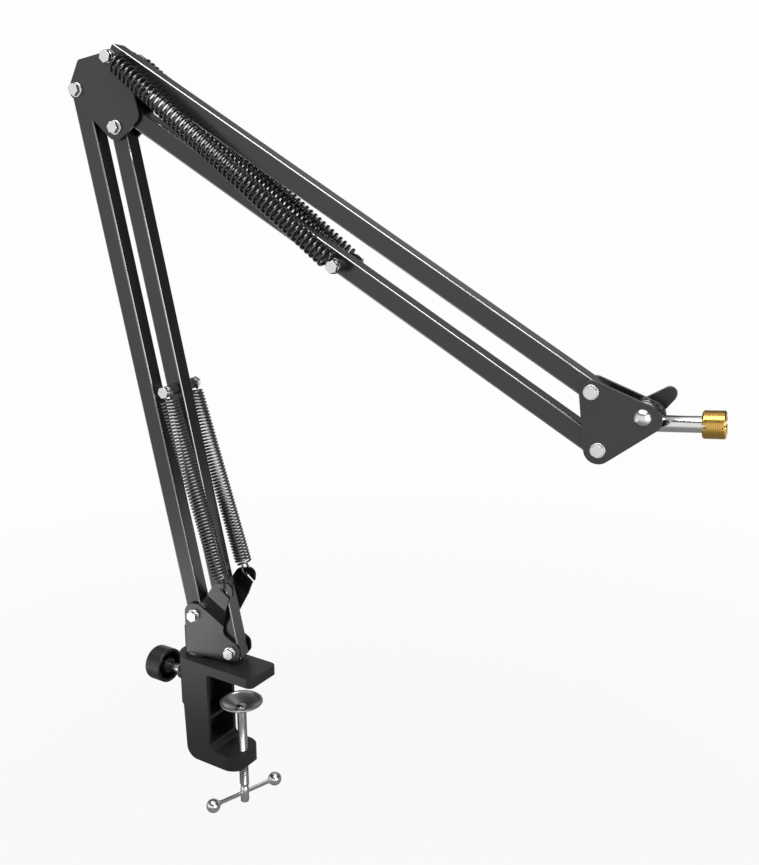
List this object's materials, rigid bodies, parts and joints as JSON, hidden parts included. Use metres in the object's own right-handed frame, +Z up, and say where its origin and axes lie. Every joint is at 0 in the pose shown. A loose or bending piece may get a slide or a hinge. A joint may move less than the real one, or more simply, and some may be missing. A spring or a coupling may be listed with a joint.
{
  "type": "microphone_boom_arm",
  "caption": "Black desk-clamped microphone boom arm with spring-balanced parallelogram arms, swivelling base and a brass thread adapter on its tilting head",
  "frame": {"origin": "On the desk face of the upper jaw, where the clamp screw's axis meets it", "axes": "+X out along the jaws over the desk, +Z up, +Y to the left of someone looking along +X"},
  "size_m": [0.4138, 0.102, 0.5207],
  "materials": {
    "black_paint": "satin powder coat",
    "black_spring": "black oxide wire",
    "steel_spring": "drawn spring wire",
    "zinc": "bright zinc plate",
    "sleeve_plastic": "black nylon",
    "chrome": "bright nickel plate",
    "brass": "turned brass",
    "black_plastic": "moulded black plastic"
  },
  "bodies": {
    "clamp": {"clamp_frame": "black_paint"},
    "clamp_pad": {"clamp_pad": "chrome"},
    "clamp_screw": {"clamp_screw": "chrome"},
    "tommy_bar": {"tommy_bar": "chrome", "tommy_bar_balls": "chrome"},
    "swivel_knob": {"swivel_knob": "black_plastic", "swivel_screw": "zinc"},
    "swivel_base": {"base_bracket": "black_paint", "swivel_post": "zinc", "post_washer": "zinc", "base_pivot_bolts": "zinc", "base_pivot_washers": "zinc", "base_pivot_nuts": "zinc"},
    "lower_left": {"lower_left_bar": "black_paint", "lower_left_bushes": "sleeve_plastic"},
    "lower_right": {"lower_right_bar": "black_paint", "lower_right_bushes": "sleeve_plastic", "lower_spring_front": "steel_spring", "lower_spring_back": "steel_spring", "lower_spring_bolt": "zinc", "lower_spring_sleeves": "sleeve_plastic", "lower_spring_washers": "zinc", "lower_spring_nut": "zinc"},
    "elbow": {"elbow_plate_front": "black_paint", "elbow_plate_back": "black_paint", "elbow_pivot_bolts": "zinc", "elbow_pivot_washers": "zinc", "elbow_pivot_nuts": "zinc", "elbow_spring_bolt": "zinc", "elbow_spring_sleeves": "sleeve_plastic", "elbow_spring_washers": "zinc", "elbow_spring_nut": "zinc", "elbow_rivet": "black_paint"},
    "upper_top": {"upper_top_bar": "black_paint", "upper_top_bushes": "sleeve_plastic"},
    "upper_bottom": {"upper_bottom_bar": "black_paint", "upper_bottom_bushes": "sleeve_plastic", "upper_spring_front": "black_spring", "upper_spring_back": "black_spring", "upper_spring_bolt": "zinc", "upper_spring_sleeves": "sleeve_plastic", "upper_spring_washers": "zinc", "upper_spring_nut": "zinc"},
    "head": {"head_plate_front": "black_paint", "head_plate_back": "black_paint", "head_pivot_bolts": "zinc", "head_pivot_nuts": "zinc", "tilt_bolt": "zinc", "tilt_washers": "sleeve_plastic"},
    "mic_arm": {"tilt_arm": "chrome", "thread_adapter": "brass"},
    "wing_nut": {"wing_nut": "black_plastic", "wing_nut_insert": "zinc"}
  },
  "joints": [
    {"name": "swivel", "type": "hinge", "parent": "clamp", "child": "swivel_base", "pos_m": [-0.0386, 0, 0.008], "axis": [0, 0, 1], "range_deg": [-180, 180]},
    {"name": "knob_turn", "type": "hinge", "parent": "clamp", "child": "swivel_knob", "pos_m": [-0.0722, 0, -0.0127], "axis": [-1, 0, 0], "range_deg": [-1080, 0]},
    {"name": "pad_travel", "type": "slide", "parent": "clamp", "child": "clamp_pad", "axis": [0, 0, 1], "range_m": [-0.028, 0.017]},
    {"name": "screw_turn", "type": "hinge", "parent": "clamp_pad", "child": "clamp_screw", "pos_m": [0, 0, -0.0266], "axis": [0, 0, 1], "range_deg": [-10080, 6120]},
    {"name": "tommy_slide", "type": "slide", "parent": "clamp_screw", "child": "tommy_bar", "axis": [0.309, 0.9511, 0], "range_m": [-0.017, 0.017]},
    {"name": "lower_lean", "type": "hinge", "parent": "swivel_base", "child": "lower_left", "pos_m": [-0.03565, 0.00052, 0.039], "axis": [-0.1736, 0.9848, 0], "range_deg": [-14, 50]},
    {"name": "lower_right_pivot", "type": "hinge", "parent": "swivel_base", "child": "lower_right", "pos_m": [-0.00758, 0.00547, 0.0154], "axis": [-0.1736, 0.9848, 0], "range_deg": [-14, 50], "deforming": ["lower_spring_front", "lower_spring_back"]},
    {"name": "elbow_level", "type": "hinge", "parent": "lower_left", "child": "elbow", "pos_m": [-0.1039, -0.01151, 0.39226], "axis": [-0.1736, 0.9848, 0], "range_deg": [-50, 14]},
    {"name": "upper_lift", "type": "hinge", "parent": "elbow", "child": "upper_top", "pos_m": [-0.07219, -0.00592, 0.41007], "axis": [0.1736, -0.9848, 0], "range_deg": [-10, 75]},
    {"name": "upper_bottom_pivot", "type": "hinge", "parent": "elbow", "child": "upper_bottom", "pos_m": [-0.06677, -0.00497, 0.37696], "axis": [0.1736, -0.9848, 0], "range_deg": [-10, 75], "deforming": ["upper_spring_front", "upper_spring_back"]},
    {"name": "head_level", "type": "hinge", "parent": "upper_top", "child": "head", "pos_m": [0.22977, 0.04732, 0.22143], "axis": [0.1736, -0.9848, 0], "range_deg": [-75, 10]},
    {"name": "mic_tilt", "type": "hinge", "parent": "head", "child": "mic_arm", "pos_m": [0.25833, 0.05236, 0.20913], "axis": [0.1736, -0.9848, 0], "range_deg": [-85, 95]},
    {"name": "wing_turn", "type": "hinge", "parent": "head", "child": "wing_nut", "pos_m": [0.25833, 0.05236, 0.20913], "axis": [0.1736, -0.9848, 0], "range_deg": [0, 720]}
  ],
  "couplings": [
    {"joint": "pad_travel", "follows": "screw_turn", "m_per_rad": 0.00015915},
    {"joint": "lower_right_pivot", "follows": "lower_lean", "ratio": 1},
    {"joint": "elbow_level", "follows": "lower_lean", "ratio": -1},
    {"joint": "upper_bottom_pivot", "follows": "upper_lift", "ratio": 1},
    {"joint": "head_level", "follows": "upper_lift", "ratio": -1}
  ]
}
